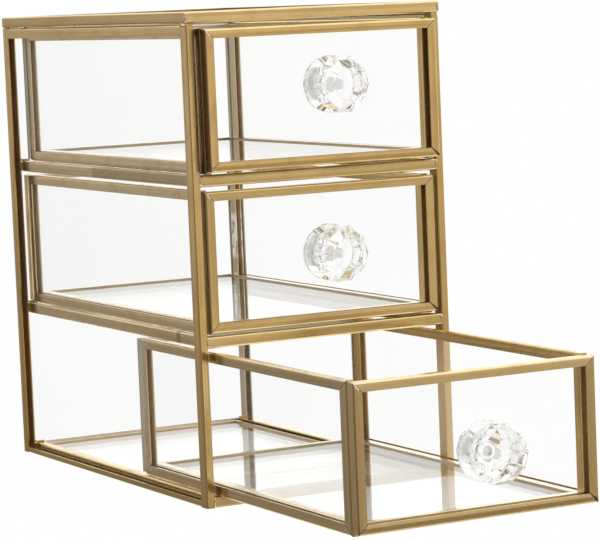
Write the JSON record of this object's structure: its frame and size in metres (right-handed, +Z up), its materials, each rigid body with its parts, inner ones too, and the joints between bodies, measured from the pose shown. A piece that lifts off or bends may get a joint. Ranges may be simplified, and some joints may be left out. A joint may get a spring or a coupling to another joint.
{
  "type": "jewelry box with drawers",
  "caption": "Tall clear jewelry box of panes framed in folded brass channel, with open-topped sliding drawers that each pull by a faceted clear knob.",
  "frame": {"origin": "middle of the footprint, on the underside of the floor frame", "axes": "+Z up, front toward -Y, drawers pull out along -Y"},
  "size_m": [0.1224, 0.3452, 0.2099],
  "materials": {
    "brass": "satin, soft-soldered joints",
    "pane": "clear polished",
    "crystal": "clear faceted",
    "screw": "plated"
  },
  "bodies": {
    "cabinet": {"front_left_post": "brass", "front_right_post": "brass", "back_left_post": "brass", "back_right_post": "brass", "left_bottom_rail": "brass", "left_lower_rail": "brass", "left_upper_rail": "brass", "left_top_rail": "brass", "right_bottom_rail": "brass", "right_lower_rail": "brass", "right_upper_rail": "brass", "right_top_rail": "brass", "front_bottom_rail": "brass", "front_lower_rail": "brass", "front_upper_rail": "brass", "back_bottom_rail": "brass", "back_top_rail": "brass", "floor_frame": "brass", "top_frame": "brass", "floor_glass": "pane", "back_glass": "pane", "left_side_glass": "pane", "right_side_glass": "pane", "top_glass": "pane"},
    "bottom_drawer": {"bottom_drawer_front_frame": "brass", "bottom_drawer_back_frame": "brass", "bottom_drawer_left_frame": "brass", "bottom_drawer_right_frame": "brass", "bottom_drawer_floor_frame": "brass", "bottom_drawer_front_glass": "pane", "bottom_drawer_back_glass": "pane", "bottom_drawer_left_glass": "pane", "bottom_drawer_right_glass": "pane", "bottom_drawer_floor_glass": "pane", "bottom_drawer_knob": "crystal", "bottom_drawer_knob_screw": "screw"},
    "middle_drawer": {"middle_drawer_front_frame": "brass", "middle_drawer_back_frame": "brass", "middle_drawer_left_frame": "brass", "middle_drawer_right_frame": "brass", "middle_drawer_floor_frame": "brass", "middle_drawer_front_glass": "pane", "middle_drawer_back_glass": "pane", "middle_drawer_left_glass": "pane", "middle_drawer_right_glass": "pane", "middle_drawer_floor_glass": "pane", "middle_drawer_knob": "crystal", "middle_drawer_knob_screw": "screw"},
    "top_drawer": {"top_drawer_front_frame": "brass", "top_drawer_back_frame": "brass", "top_drawer_left_frame": "brass", "top_drawer_right_frame": "brass", "top_drawer_floor_frame": "brass", "top_drawer_front_glass": "pane", "top_drawer_back_glass": "pane", "top_drawer_left_glass": "pane", "top_drawer_right_glass": "pane", "top_drawer_floor_glass": "pane", "top_drawer_knob": "crystal", "top_drawer_knob_screw": "screw"}
  },
  "joints": [
    {"name": "bottom_drawer_slide", "type": "slide", "parent": "cabinet", "child": "bottom_drawer", "axis": [0, -1, 0], "range_m": [-0.1214, 0.0336]},
    {"name": "middle_drawer_slide", "type": "slide", "parent": "cabinet", "child": "middle_drawer", "axis": [0, -1, 0], "range_m": [0, 0.155]},
    {"name": "top_drawer_slide", "type": "slide", "parent": "cabinet", "child": "top_drawer", "axis": [0, -1, 0], "range_m": [-0.0063, 0.1487]}
  ]
}
